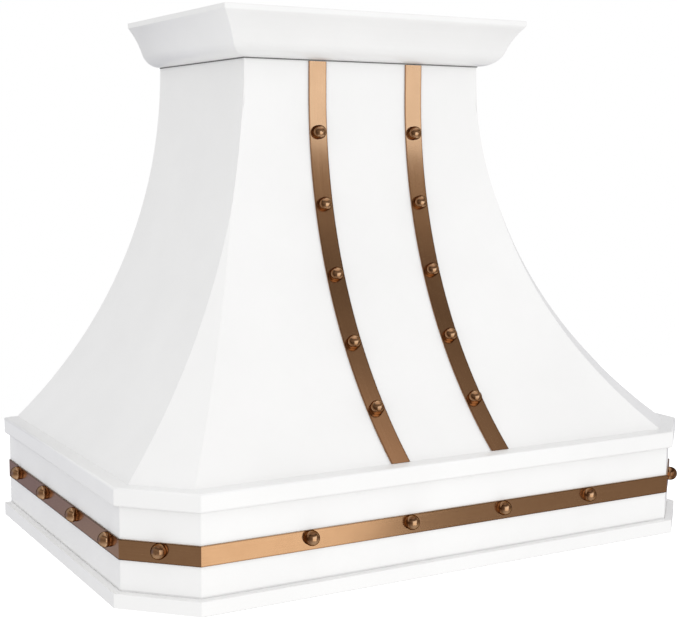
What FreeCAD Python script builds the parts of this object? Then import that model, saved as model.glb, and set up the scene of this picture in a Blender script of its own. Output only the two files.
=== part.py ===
import FreeCAD, Part
import math
import os

import Sketcher

# Wall-mounted range hood with a flared canopy. Millimetres; the wall is the plane Y = 0, the front
# faces -Y, X runs along the wall from its middle and Z rises from the lower edge of the trim.

SIZES = {
    # canopy shell
    "apron_width": 897,
    "apron_depth": 557.5,
    "corner_cut": 75.5,
    "sheet": 1.5,
    "fit_gap": 0.3,
    "chimney_width": 390,
    "chimney_depth": 308,
    "ledge_setback": 13,
    "flare_top": 684,
    "front_flare_drop": 40,
    "front_setback": 4,
    "facet_start": 30,
    "facet_foot": 62,
    "shell_recess": 9,
    # mouldings
    "trim_overhang": 10.5,
    "trim_height": 19,
    "trim_slope": 0.5,
    "trim_flange": 26,
    "flange_height": 4,
    "rim_overhang": 8.5,
    "rim_height": 24,
    "rim_top": 151.5,
    "rim_edge_round": 3,
    "ledge_overlap": 30,
    "crown_clearance": 3,
    "crown_height": 66,
    "crown_overhang": 53.5,
    "crown_underside": 3,
    "crown_swell": 28,
    "crown_swell_rise": 20,
    "crown_lip": 7.5,
    "crown_return": 12,
    "crown_fixing": 13,
    "seal_height": 1.5,
    "seal_width": 1.2,
    # straps, band and rivets
    "strap_width": 28,
    "strap_thickness": 2,
    "strap_spacing": 161,
    "strap_gap": 0.2,
    "strap_end_gap": 0.6,
    "band_bottom": 59.5,
    "band_width": 26,
    "rivet_diameter": 20,
    "rivet_height": 13,
    "rivet_rise": 3,
    "rivet_shank": 5,
    "rivet_seat_gap": 0.1,
    "shank_clearance": 0.1,
    "strap_rivet_start": 87.5,
    "strap_rivet_pitch": 104,
    "side_rivet_rear": 54,
    "side_rivet_front": 38,
    # screws
    "screw_hole": 3.8,
    "screw_shank": 3.5,
    "screw_head": 6.8,
    "screw_head_height": 1.7,
    "screw_head_round": 0.8,
    "screw_length": 8,
    "screw_margin": 9,
    "plate_screw_length": 6,
    "plate_screw_rise": 25,
    # wall fixing
    "stud_spacing": 406.4,
    "wall_hole": 9,
    "rail_height": 40,
    "rail_thickness": 3,
    "rail_overrun": 22,
    "upper_rail_drop": 234,
    "lower_rail_rise": 98,
    # duct plate, collar and damper
    "collar_diameter": 150,
    "collar_length": 97,
    "collar_recess": 4.5,
    "plate_upstand": 70,
    "damper_height": 16,
    "damper_rod": 4,
    "rod_hole_clearance": 0.2,
    "rod_end_gap": 0.2,
    "damper_sleeve": 6.8,
    "sleeve_clearance": 0.16,
    "sleeve_margin": 13.5,
    "sleeve_gap": 0.8,
    "flap_clearance": 1,
    "flap_thickness": 1,
    # blower
    "blower_width": 120,
    "blower_sheet": 1.2,
    "blower_drop": 170,
    "scroll_clearance": 15,
    "scroll_step": 14,
    "tongue_setback": 20,
    "tongue_round": 8,
    "outlet_flange_width": 20,
    "inlet_diameter": 132,
    "inlet_flange": 18,
    "inlet_depth": 10,
    "inlet_bend": 4,
    "impeller_diameter": 170,
    "impeller_gap": 9,
    "impeller_disc": 2,
    "impeller_ring": 3,
    "hub_diameter": 24,
    "hub_length": 20,
    "hub_clearance": 0.05,
    "blade_depth": 15,
    "blade_thickness": 1,
    "blade_tip_inset": 0.4,
    "motor_diameter": 92,
    "motor_wall_clearance": 25,
    "motor_flange": 8,
    "motor_flange_thickness": 3,
    "motor_round": 8,
    "motor_end": 10,
    "shaft_diameter": 8,
    "shaft_end_gap": 2,
    "bearing_clearance": 0.08,
    # liner and filters
    "liner_sheet": 1.2,
    "liner_height": 58,
    "liner_inset": 30,
    "liner_setback": 3,
    "filter_side_margin": 55,
    "filter_middle_margin": 12,
    "filter_rear_margin": 50,
    "filter_gap": 1.5,
    "front_strip": 147,
    "filter_thickness": 14,
    "filter_border": 18,
    "filter_corner": 6,
    "baffle_pitch": 34,
    "baffle_width": 24,
    "baffle_sheet": 0.8,
    "baffle_inset": 1,
    "pivot_setback": 8,
    "pivot_diameter": 8,
    "pivot_length": 5.5,
    "bracket_gap": 2.5,
    "bracket_width": 16,
    "bracket_sheet": 2,
    "bracket_foot": 6,
    "clip_width": 30,
    "clip_height": 10,
    "clip_depth": 16,
    "clip_sheet": 0.6,
    "knob_diameter": 20,
    "knob_neck": 9,
    "knob_height": 18,
    "knob_grip": 6,
    "knob_edge": 1,
    # lamps and controls
    "lamp_spacing": 500,
    "lamp_diameter": 58,
    "lamp_hole_clearance": 1,
    "lamp_height": 24,
    "lamp_wall": 1.5,
    "lamp_rim": 7,
    "lamp_face": 3,
    "lamp_seat": 1,
    "lens_thickness": 2,
    "lens_gap": 0.1,
    "control_length": 150,
    "control_depth": 36,
    "bezel_thickness": 2,
    "bezel_corner": 5,
    "bezel_end": 10,
    "bezel_side": 6,
    "button_diameter": 16,
    "button_clearance": 0.6,
    "button_pitch": 26,
    "button_proud": 3.5,
    "button_edge": 1,
    "button_skirt": 2,
    "skirt_gap": 0.2,
    "skirt_thickness": 2,
    "button_room": 3,
    "case_height": 24,
    "case_wall": 1.5,
    "board_gap": 0.2,
    "board_thickness": 1.6,
    "switch_diameter": 6,
    "switch_height": 3.3,
    # wiring box
    "box_length": 80,
    "box_depth": 66,
    "box_height": 44,
    "cover_lip": 1,
    "gland_bore": 10,
    "gland_wall": 2.8,
    "gland_clearance": 0.4,
    "gland_length": 10,
    "gland_nut": 7,
    "nut_height": 6,
    "gland_cap": 5,
    "cap_height": 9,
    "gland_dome": 4,
    "gland_mouth": 1.5,
    "gland_round": 5,
}

MITRE = math.tan(math.radians(22.5))
OVERRUN = 20
CURVE_STEPS = 12
FLAT_STEPS = 3
FACET_MARGIN = 6
LAID_FORWARD = FreeCAD.Rotation(FreeCAD.Vector(1, 0, 0), 90)
STRAP_RIVETS = 5
SIDE_RIVETS = 4
FRONT_RIVETS = 4
SLEEVES = 5
BLADES = 28
BUTTONS = ("light", "off", "low", "medium", "high")

doc = FreeCAD.newDocument("range_hood")
pieces = []


class Size:
    """A length together with the sheet expression that it comes from."""

    def __init__(self, value, text):
        self.value = float(value)
        self.text = text

    def __add__(self, other):
        other = as_size(other)
        return Size(self.value + other.value, f"({self.text} + {other.text})")

    def __sub__(self, other):
        other = as_size(other)
        return Size(self.value - other.value, f"({self.text} - {other.text})")

    def __mul__(self, other):
        other = as_size(other)
        return Size(self.value * other.value, f"({self.text} * {other.text})")

    def __truediv__(self, other):
        other = as_size(other)
        return Size(self.value / other.value, f"({self.text} / {other.text})")

    def __neg__(self):
        return Size(-self.value, f"(-{self.text})")

    def __radd__(self, other):
        return as_size(other) + self

    def __rsub__(self, other):
        return as_size(other) - self

    def __rmul__(self, other):
        return as_size(other) * self


def as_size(item):
    return item if isinstance(item, Size) else Size(item, repr(float(item)))


def root(size):
    return Size(math.sqrt(size.value), f"sqrt({size.text})")


class Sheet:
    """The spreadsheet of driving sizes, read back by alias."""

    def __init__(self, sizes):
        self.cells = doc.addObject("Spreadsheet::Sheet", "Sizes")
        for row, (alias, number) in enumerate(sizes.items(), 1):
            self.cells.set(f"A{row}", alias)
            self.cells.set(f"B{row}", str(number))
            self.cells.setAlias(f"B{row}", alias)
        doc.recompute()

    def __getattr__(self, alias):
        return Size(self.cells.get(alias), "Sizes." + alias)


s = Sheet(SIZES)


# Helpers that draw sketches and bind every size to the sheet

def bind(thing, name, size):
    size = as_size(size)
    setattr(thing, name, size.value)
    thing.setExpression(name, size.text)


def place(thing, x=0, y=0, z=0):
    for axis, size in (("x", x), ("y", y), ("z", z)):
        thing.setExpression("Placement.Base." + axis, as_size(size).text)


def new_body(label):
    body = doc.addObject("PartDesign::Body", label)
    body.Label = label
    return body


def keep(piece):
    pieces.append(piece)
    return piece


def new_sketch(body, name, plane, offset=0):
    sketch = body.newObject("Sketcher::SketchObject", f"{body.Label}_{name}")
    support = next(item for item in body.Origin.OriginFeatures if item.Role == plane + "_Plane")
    sketch.AttachmentSupport = [(support, "")]
    sketch.MapMode = "FlatFace"
    offset = as_size(offset)
    sketch.AttachmentOffset = FreeCAD.Placement(FreeCAD.Vector(0, 0, offset.value), FreeCAD.Rotation())
    sketch.setExpression("AttachmentOffset.Base.z", offset.text)
    return sketch


def constrain(sketch, items):
    """Add each (constraint, size) pair and bind its value to the sheet."""
    numbers = sketch.addConstraint([constraint for constraint, _ in items])
    for number, (_, size) in zip(numbers, items):
        if size is not None:
            sketch.setExpression(f"Constraints[{number}]", size.text)


def vector(point):
    return FreeCAD.Vector(as_size(point[0]).value, as_size(point[1]).value, 0)


def arc_between(start, end, radius):
    """Arc under a half turn; a positive radius turns left on the way, a negative one right."""
    chord = end - start
    left = FreeCAD.Vector(-chord.y, chord.x, 0).normalize()
    rise = math.sqrt(max(radius ** 2 - (chord.Length / 2) ** 2, 0))
    centre = (start + end) / 2 + left * math.copysign(rise, radius)
    first, last = (start, end) if radius > 0 else (end, start)
    angles = [math.atan2(point.y - centre.y, point.x - centre.x) for point in (first, last)]
    if angles[1] < angles[0]:
        angles[1] += 2 * math.pi
    whole = Part.Circle(centre, FreeCAD.Vector(0, 0, 1), abs(radius))
    return Part.ArcOfCircle(whole, *angles)


def draw(sketch, corners, arcs=None, closed=True):
    """Run a line through the corners; arcs gives the radius of each side that is bent."""
    arcs = arcs or {}
    first = sketch.GeometryCount
    count = len(corners)
    sides = count if closed else count - 1
    ends = []
    items = []
    for side in range(sides):
        start, end = vector(corners[side]), vector(corners[(side + 1) % count])
        radius = arcs.get(side)
        if radius is None:
            sketch.addGeometry(Part.LineSegment(start, end))
        else:
            radius = as_size(radius)
            sketch.addGeometry(arc_between(start, end, radius.value))
            size = radius if radius.value > 0 else -radius
            items.append((Sketcher.Constraint("Radius", first + side, size.value), size))
        ends.append((2, 1) if radius is not None and radius.value < 0 else (1, 2))
    for side in range(sides if closed else sides - 1):
        after = (side + 1) % sides
        join = Sketcher.Constraint("Coincident", first + side, ends[side][1], first + after, ends[after][0])
        items.append((join, None))
    held = [(side, ends[side][0], corners[side]) for side in range(sides)]
    if not closed:
        held.append((sides - 1, ends[-1][1], corners[-1]))
    for side, end, corner in held:
        for kind, size in zip(("DistanceX", "DistanceY"), map(as_size, corner)):
            items.append((Sketcher.Constraint(kind, -1, 1, first + side, end, size.value), size))
    constrain(sketch, items)


def circle(sketch, centre, diameter):
    diameter = as_size(diameter)
    number = sketch.addGeometry(Part.Circle(vector(centre), FreeCAD.Vector(0, 0, 1), diameter.value / 2))
    items = [(Sketcher.Constraint("Diameter", number, diameter.value), diameter)]
    for kind, size in zip(("DistanceX", "DistanceY"), map(as_size, centre)):
        items.append((Sketcher.Constraint(kind, -1, 1, number, 3, size.value), size))
    constrain(sketch, items)


def rectangle(left, right, low, high):
    return [(left, low), (right, low), (right, high), (left, high)]


def rounded(left, right, low, high, bend):
    """Corners and bends of a rectangle with round corners."""
    corners = [
        (left + bend, low),
        (right - bend, low),
        (right, low + bend),
        (right, high - bend),
        (right - bend, high),
        (left + bend, high),
        (left, high - bend),
        (left, low + bend),
    ]
    return corners, {1: bend, 3: bend, 5: bend, 7: bend}


def pad(body, sketch, length, side="One side"):
    feature = body.newObject("PartDesign::Pad", sketch.Label + "_pad")
    feature.Profile = sketch
    feature.SideType = side
    bind(feature, "Length", length)
    return feature


def cut(body, sketch, depth=None):
    """Pocket the sketch to a depth, or through everything both ways when none is given."""
    before = body.Tip
    doc.recompute()
    feature = body.newObject("PartDesign::Pocket", sketch.Label + "_cut")
    feature.Profile = sketch
    if depth is None:
        feature.Type = "ThroughAll"
        feature.SideType = "Symmetric"
    else:
        bind(feature, "Length", depth)
    doc.recompute()
    if not feature.Shape.Volume < before.Shape.Volume - 1e-3:
        raise RuntimeError(f"{feature.Label} removes nothing")
    return feature


def revolve(body, sketch):
    feature = body.newObject("PartDesign::Revolution", sketch.Label + "_turn")
    feature.Profile = sketch
    feature.ReferenceAxis = (sketch, ["V_Axis"])
    feature.Angle = 360
    return feature


def sweep(body, path, profile):
    doc.recompute()
    feature = body.newObject("PartDesign::AdditivePipe", profile.Label + "_sweep")
    feature.Profile = profile
    feature.Spine = (path, [f"Edge{number + 1}" for number in range(path.GeometryCount)])
    feature.Transition = "Right corner"
    return feature


def plate(label, plane, corners, thickness, offset=0, arcs=None, holes=()):
    """A flat sheet drawn on one plane, with round holes given as (centre, diameter)."""
    body = new_body(label)
    sketch = new_sketch(body, "outline", plane, offset)
    draw(sketch, corners, arcs)
    for centre, diameter in holes:
        circle(sketch, centre, diameter)
    pad(body, sketch, thickness)
    return keep(body)


def turned(label, corners, arcs=None):
    """A piece turned about its own Z axis from a half section of (radius, height) corners."""
    body = new_body(label)
    sketch = new_sketch(body, "section", "XZ")
    draw(sketch, corners, arcs)
    revolve(body, sketch)
    return keep(body)


def mirrored(label, source):
    piece = doc.addObject("Part::Mirroring", label)
    piece.Label = label
    piece.Source = source
    piece.Base = FreeCAD.Vector(0, 0, 0)
    piece.Normal = FreeCAD.Vector(1, 0, 0)
    return keep(piece)


def from_shape(label, shape):
    piece = doc.addObject("Part::Feature", label)
    piece.Label = label
    piece.Shape = shape
    piece.Placement = FreeCAD.Placement()
    return piece


def drilled(label, base, tool):
    piece = doc.addObject("Part::Cut", label)
    piece.Label = label
    piece.Base = base
    piece.Tool = tool
    return keep(piece)


# Layout shared by several pieces

half_apron = s.apron_width / 2
half_chimney = s.chimney_width / 2
flare_foot = half_apron - s.ledge_setback - half_chimney
flare_drop = s.flare_top - s.rim_top
flare_radius = (flare_foot * flare_foot + flare_drop * flare_drop) / (2 * flare_foot)
front_top = s.flare_top - s.front_flare_drop
front_foot = s.apron_depth - s.ledge_setback - s.front_setback - s.chimney_depth
front_drop = front_top - s.rim_top
front_radius = (front_foot * front_foot + front_drop * front_drop) / (2 * front_foot)
facet_rate = s.facet_foot / (flare_foot - s.facet_start)
crown_bottom = s.flare_top + s.crown_clearance
crown_top = crown_bottom + s.crown_height
shell_top = crown_top - s.shell_recess
wall = -s.sheet
plate_top = crown_top - s.collar_recess - s.collar_length
plate_bottom = plate_top - s.sheet
duct_y = -s.chimney_depth / 2
collar_radius = s.collar_diameter / 2
bore_radius = collar_radius - s.sheet
screw_z = crown_bottom + s.plate_screw_rise
gland_hole = s.gland_bore + 2 * s.gland_wall + s.gland_clearance

scroll_radius = s.impeller_diameter / 2 + s.scroll_clearance
outlet_right = scroll_radius + 3 * s.scroll_step
outlet_half_x = (outlet_right - s.tongue_setback) / 2
blower_x = -(s.tongue_setback + outlet_right) / 2
blower_z = plate_bottom - s.blower_drop
blower_front = s.blower_width / 2 - duct_y
blower_rear = blower_front - s.blower_width

roof = s.liner_height
liner_half = half_apron - s.liner_inset - s.liner_sheet
liner_front = s.apron_depth - s.liner_inset - s.liner_sheet
filter_left = -(liner_half - s.filter_side_margin)
filter_right = -s.filter_middle_margin
filter_rear = -s.filter_rear_margin
filter_front = -(liner_front - s.front_strip)
filter_x = (filter_left + filter_right) / 2
filter_width = filter_right - filter_left
pivot_y = filter_rear - s.pivot_setback
pivot_z = roof + s.filter_thickness / 2
strip_y = (filter_front - liner_front) / 2


def wrap(offset, back=wall):
    """Plan of the apron's five faces moved outward, from the left rear end to the right rear end."""
    side = half_apron + offset
    front = s.apron_depth + offset
    side_turn = s.apron_depth - s.corner_cut + offset * MITRE
    front_turn = half_apron - s.corner_cut + offset * MITRE
    left = [(-side, back), (-side, -side_turn), (-front_turn, -front)]
    return left + [(-x, y) for x, y in reversed(left)]


def flare_section(reach, top, foot, radius):
    """Section of a flared sheet whose straight outer face stands at -reach."""
    inner_radius = radius + s.sheet
    drop = top - s.rim_top
    inner_foot = radius - root(inner_radius * inner_radius - drop * drop)
    corners = [
        (-reach, shell_top),
        (-reach, top),
        (-(reach + foot), s.rim_top),
        (-(reach + inner_foot), s.rim_top),
        (s.sheet - reach, top),
        (s.sheet - reach, shell_top),
    ]
    return corners, {1: -radius, 3: inner_radius}


def flares(z):
    """How far the side and front panels have flared out at a height."""
    out = []
    for top, radius in ((s.flare_top.value, flare_radius.value), (front_top.value, front_radius.value)):
        drop = max(0, top - z)
        out.append(radius - math.sqrt(radius * radius - drop * drop))
    return out


def facet_cut(z):
    """How much the facet takes off the corner at a height."""
    return facet_rate.value * (flares(z)[0] - s.facet_start.value)


def facet_height():
    """Height at which the facet begins."""
    rise = flare_radius.value - s.facet_start.value
    return s.flare_top.value - math.sqrt(flare_radius.value * flare_radius.value - rise * rise)


def heights(high, low):
    return [high + (low - high) * number / CURVE_STEPS for number in range(CURVE_STEPS + 1)]


def smooth(points):
    curve = Part.BSplineCurve()
    curve.interpolate(points)
    return curve.toShape()


def corner_walls():
    """Plan of the left corner's seams: the mitre, then the facet's edges on the front and side panels."""
    mitre, front, side = [], [], []
    for sheets in (4, 2, 0):
        mitre.append(corner_point(-sheets * s.sheet.value, -sheets * s.sheet.value))
    for z in heights(front_top.value, facet_height())[FLAT_STEPS:]:
        mitre.append(corner_point(*flares(z)))
    for z in heights(facet_height(), s.rim_top.value):
        across, deep = flares(z)
        front.append(corner_point(across - facet_cut(z), deep))
        side.append(corner_point(across, deep - facet_cut(z)))
    return mitre, front, side


def corner_point(across, deep):
    return FreeCAD.Vector(-half_chimney.value - across, -s.chimney_depth.value - deep, 0)


def prism(edges, points, low, high):
    """Upright solid on a plan closed by straight lines from the last edge through the points."""
    lines = []
    for start, end in zip(points[:-1], points[1:]):
        lines.append(Part.makeLine(start, end))
    face = Part.Face(Part.Wire(Part.__sortEdges__(edges + lines)))
    face.translate(FreeCAD.Vector(0, 0, low))
    return face.extrude(FreeCAD.Vector(0, 0, high - low))


def beyond(points):
    """The end of a seam carried on past the foot of the panels."""
    return points[-1] + (points[-1] - points[-2]).normalize() * OVERRUN


def end_cutter(seam, turn, far):
    """Solid beyond a panel's end: the mitre, then one edge of the facet; turn gives the outer corners."""
    mitre = corner_walls()[0]
    last = beyond(seam)
    points = [seam[-1], last] + turn(last, mitre[0], far) + [mitre[0]]
    return prism([smooth(mitre), smooth(seam)], points, 0, crown_top.value)


# Canopy shell

def build_panels():
    front_seam, side_seam = corner_walls()[1:]
    reach = flare_foot + OVERRUN
    front = new_body("front_blank")
    sketch = new_sketch(front, "section", "YZ")
    draw(sketch, *flare_section(s.chimney_depth, front_top, front_foot, front_radius))
    pad(front, sketch, 2 * (half_chimney + reach), "Symmetric")
    holes = new_sketch(front, "screw_holes", "XZ", s.chimney_depth)
    for x in front_screws():
        circle(holes, (x, screw_z), s.screw_hole)
    cut(front, holes, 2 * s.sheet)
    far = -(half_chimney + reach + OVERRUN).value
    end = end_cutter(front_seam, sideways, far)
    across = FreeCAD.Vector(1, 0, 0)
    ends = Part.makeCompound([end, end.mirror(FreeCAD.Vector(0, 0, 0), across)])
    drilled("front_panel", front, from_shape("front_ends", ends))

    left = new_body("left_blank")
    sketch = new_sketch(left, "section", "XZ", s.sheet)
    draw(sketch, *flare_section(half_chimney, s.flare_top, flare_foot, flare_radius))
    pad(left, sketch, s.chimney_depth + reach)
    holes = new_sketch(left, "screw_holes", "YZ")
    for y in side_screws():
        circle(holes, (y, screw_z), s.screw_hole)
    cut(left, holes)
    far = -(s.chimney_depth + reach + 2 * OVERRUN).value
    end = from_shape("left_end", end_cutter(side_seam, forward, far))
    mirrored("right_panel", drilled("left_panel", left, end))

    corner = keep(from_shape("left_corner_panel", corner_facet()))
    mirrored("right_corner_panel", corner)


def sideways(last, inside, far):
    """Outer corners of the front panel's cutter, which reaches out to x = far."""
    return [FreeCAD.Vector(far, last.y, 0), FreeCAD.Vector(far, inside.y, 0)]


def forward(last, inside, far):
    """Outer corners of the side panel's cutter, which reaches out to y = far."""
    return [FreeCAD.Vector(last.x, far, 0), FreeCAD.Vector(inside.x, far, 0)]


def side_screws():
    return [-0.27 * s.chimney_depth, -0.73 * s.chimney_depth]


def front_screws():
    return [-0.5 * half_chimney, 0.5 * half_chimney]


def corner_facet():
    """Tapering sheet between the side and front panels, bent across the diagonal to follow both flares."""
    sheet, foot, top = s.sheet.value, s.rim_top.value, s.flare_top.value
    outer, inner = [], []
    for z in heights(facet_height() + FACET_MARGIN, foot - FACET_MARGIN):
        here = facet_reach(z)
        slope = facet_reach(z + 0.5) - facet_reach(z - 0.5)
        depth = sheet / math.sqrt(1 + slope * slope)
        outer.append(FreeCAD.Vector(here, 0, z))
        inner.append(FreeCAD.Vector(here - depth, 0, z + depth * slope))
    edges = [
        smooth(outer),
        Part.makeLine(outer[-1], inner[-1]),
        smooth(inner),
        Part.makeLine(inner[0], outer[0]),
    ]
    face = Part.Face(Part.Wire(Part.__sortEdges__(edges)))
    width = 2 * s.facet_foot.value
    face.translate(FreeCAD.Vector(0, -width, 0))
    bent = face.extrude(FreeCAD.Vector(0, 2 * width, 0))
    bent.rotate(FreeCAD.Vector(0, 0, 0), FreeCAD.Vector(0, 0, 1), 225)
    bent.translate(corner_point(0, 0))

    front, side = corner_walls()[1:]
    far = flare_foot.value + 2 * OVERRUN
    points = [front[-1], beyond(front), corner_point(far, far), beyond(side), side[-1]]
    return bent.common(prism([smooth(front), smooth(side)], points, foot, top)).Solids[0]


def facet_reach(z):
    """Distance of the facet's outer face from the chimney's corner, along the diagonal."""
    return (sum(flares(z)) - facet_cut(z)) / math.sqrt(2)


def build_back():
    half = s.stud_spacing / 2
    upper = s.flare_top - s.upper_rail_drop
    lower = s.rim_top + s.lower_rail_rise
    left = [
        (-half_apron, 0),
        (-half_apron, s.rim_top),
        (-(half_chimney + flare_foot), s.rim_top),
        (-half_chimney, s.flare_top),
        (-half_chimney, shell_top),
    ]
    corners = left + [(-x, z) for x, z in reversed(left)]
    holes = [((x, z), s.wall_hole) for x in (-half, half) for z in (lower, upper)]
    plate("back_panel", "XZ", corners, s.sheet, 0, {2: flare_radius, 6: flare_radius}, holes)
    for label, z in (("upper_wall_rail", upper), ("lower_wall_rail", lower)):
        reach = half + s.rail_overrun
        outline = rectangle(-reach, reach, z - s.rail_height / 2, z + s.rail_height / 2)
        holes = [((x, z), s.wall_hole) for x in (-half, half)]
        plate(label, "XZ", outline, s.rail_thickness, s.sheet, None, holes)


def moulding(label, corners, face, section, arcs=None):
    """A folded strip swept round the shell; the section gives (outward distance from face, height)."""
    body = new_body(label)
    path = new_sketch(body, "path", "XY")
    draw(path, corners, closed=False)
    profile = new_sketch(body, "profile", "XZ", s.sheet)
    bends = {side: -radius for side, radius in (arcs or {}).items()}
    draw(profile, [(-(face + out), z) for out, z in section], bends)
    sweep(body, path, profile)
    return keep(body)


def liner_screw_places():
    side = half_apron - 0.6 * s.trim_flange
    front = s.apron_depth - 0.6 * s.trim_flange
    side_flat = s.apron_depth - s.corner_cut
    left = [(-0.37 * s.apron_width, -front), (-0.125 * s.apron_width, -front)]
    left += [(-side, -0.22 * side_flat), (-side, -0.72 * side_flat)]
    return left + [(-x, y) for x, y in left]


def build_trim():
    sheet, over, flange = s.sheet, s.trim_overhang, s.flange_height
    section = [
        (over, 0),
        (over, s.trim_height),
        (0, s.trim_height + s.trim_slope),
        (0, s.trim_height + s.trim_slope - sheet),
        (over - sheet, s.trim_height - sheet),
        (over - sheet, flange + sheet),
        (-s.trim_flange, flange + sheet),
        (-s.trim_flange, flange),
        (over - sheet, flange),
        (over - sheet, 0),
    ]
    trim = moulding("bottom_trim", wrap(0), half_apron, section)
    holes = new_sketch(trim, "screw_holes", "XY")
    for centre in liner_screw_places():
        circle(holes, centre, s.screw_hole)
    cut(trim, holes)

    outline = wrap(0) + wrap(-sheet)[::-1]
    plate("apron", "XY", outline, s.rim_top - 2 * sheet - flange, flange + sheet)


def build_rim():
    sheet, over, top, edge = s.sheet, s.rim_overhang, s.rim_top, s.rim_edge_round
    low = top - s.rim_height
    inner = -(s.ledge_setback + s.ledge_overlap)
    section = [
        (0, low),
        (over - edge, low),
        (over, low + edge),
        (over, top - edge),
        (over - edge, top),
        (inner, top),
        (inner, top - sheet),
        (over - edge, top - sheet),
        (over - sheet, top - edge),
        (over - sheet, low + edge),
        (over - edge, low + sheet),
        (0, low + sheet),
    ]
    arcs = {1: edge, 3: edge, 7: sheet - edge, 9: sheet - edge}
    moulding("ledge_rim", wrap(0), half_apron, section, arcs)


def build_crown():
    """An ogee of two tangent arcs, a swell below and a hollow above, on a thin seal against the shell."""
    sheet, low, over = s.sheet, crown_bottom, s.crown_overhang
    swell, rise = s.crown_swell, s.crown_swell_rise
    bend = (swell * swell + rise * rise) / (2 * rise)
    outward, upward = swell / bend, (rise - bend) / bend
    turn_x, turn_z = s.crown_underside + swell, low + rise
    lip_z = crown_top - s.crown_lip
    run, climb = over - turn_x, lip_z - turn_z
    hollow = (run * run + climb * climb) / (2 * (run * outward + climb * upward))
    back = hollow + sheet
    inner_run = turn_x + hollow * outward - (over - sheet)
    inner_z = turn_z + hollow * upward + root(back * back - inner_run * inner_run)
    section = [
        (0, low),
        (s.crown_underside, low),
        (turn_x, turn_z),
        (over, lip_z),
        (over, crown_top),
        (over - s.crown_return, crown_top),
        (over - s.crown_return, crown_top - sheet),
        (over - sheet, crown_top - sheet),
        (over - sheet, inner_z),
        (turn_x - sheet * outward, turn_z - sheet * upward),
        (s.crown_underside, low + sheet),
        (sheet, low + sheet),
        (sheet, low + s.crown_fixing),
        (0, low + s.crown_fixing),
    ]
    arcs = {1: bend, 2: -hollow, 8: back, 9: sheet - bend}
    path = [(-half_chimney, wall), (-half_chimney, -s.chimney_depth)]
    path += [(-x, y) for x, y in reversed(path)]
    moulding("crown_moulding", path, half_chimney, section, arcs)
    moulding("crown_seal", path, half_chimney, rectangle(0, s.seal_width, low - s.seal_height, low))


# Straps, band and ball-headed rivets

def rivet(shank):
    """A ball-headed rivet standing on the plane Z = 0 with its shank below."""
    ball, height = s.rivet_diameter.value / 2, s.rivet_height.value
    middle = FreeCAD.Vector(ball, 0, height - ball)
    foot = math.sqrt(height * (2 * ball - height))
    tip, rim = FreeCAD.Vector(0, 0, height), FreeCAD.Vector(foot, 0, 0)
    pin = s.rivet_shank.value / 2
    lower = [FreeCAD.Vector(x, 0, z) for x, z in ((pin, 0), (pin, -shank), (0, -shank))]
    edges = [Part.Arc(tip, middle, rim).toShape(), Part.makePolygon([rim] + lower + [tip])]
    return Part.Face(Part.Wire(edges)).revolve(FreeCAD.Vector(0, 0, 0), FreeCAD.Vector(0, 0, 1), 360)


def spread(shape, places):
    """Copies of a shape standing on each (point, outward direction)."""
    copies = []
    for point, outward in places:
        copy = shape.copy()
        copy.Placement = FreeCAD.Placement(point, FreeCAD.Rotation(FreeCAD.Vector(0, 0, 1), outward))
        copies.append(copy)
    return Part.makeCompound(copies)


def shank_holes(label, places):
    radius = s.rivet_shank.value / 2 + s.shank_clearance.value
    depth = 2 * s.strap_thickness.value
    hole = Part.makeCylinder(radius, 2 * depth, FreeCAD.Vector(0, 0, -depth))
    return from_shape(label, spread(hole, places))


def strap_places(x):
    """Rivet seats up one strap, evenly spaced along the flare's arc."""
    radius = front_radius.value
    foot = math.asin(front_drop.value / radius)
    lift = s.strap_gap.value + s.strap_thickness.value + s.rivet_seat_gap.value
    axis = FreeCAD.Vector(x, -s.chimney_depth.value - radius, front_top.value)
    places = []
    for number in range(STRAP_RIVETS):
        along = s.strap_rivet_start.value + number * s.strap_rivet_pitch.value
        turn = foot - along / radius
        outward = FreeCAD.Vector(0, -math.cos(turn), math.sin(turn))
        places.append((axis - outward * (radius - lift), outward))
    return places


def band_places():
    """Rivet seats round the band: sides, corners and front."""
    out = s.strap_thickness.value
    half, depth, corner = half_apron.value, s.apron_depth.value, s.corner_cut.value
    z = s.band_bottom.value + s.band_width.value / 2 + s.rivet_rise.value
    rear, front = s.side_rivet_rear.value, depth - corner - s.side_rivet_front.value
    left = []
    for number in range(SIDE_RIVETS):
        y = -rear - number * (front - rear) / (SIDE_RIVETS - 1)
        left.append((FreeCAD.Vector(-half - out, y, z), FreeCAD.Vector(-1, 0, 0)))
    diagonal = FreeCAD.Vector(-1, -1, 0).normalize()
    middle = FreeCAD.Vector(-half + corner / 2, -depth + corner / 2, z)
    left.append((middle + diagonal * out, diagonal))
    pitch = 2 * (half - corner) / (FRONT_RIVETS + 1)
    for number in range(FRONT_RIVETS // 2):
        x = (number - (FRONT_RIVETS - 1) / 2) * pitch
        left.append((FreeCAD.Vector(x, -depth - out, z), FreeCAD.Vector(0, -1, 0)))
    right = []
    for point, outward in left:
        right.append((FreeCAD.Vector(-point.x, point.y, z), FreeCAD.Vector(-outward.x, outward.y, 0)))
    return left + right


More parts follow.
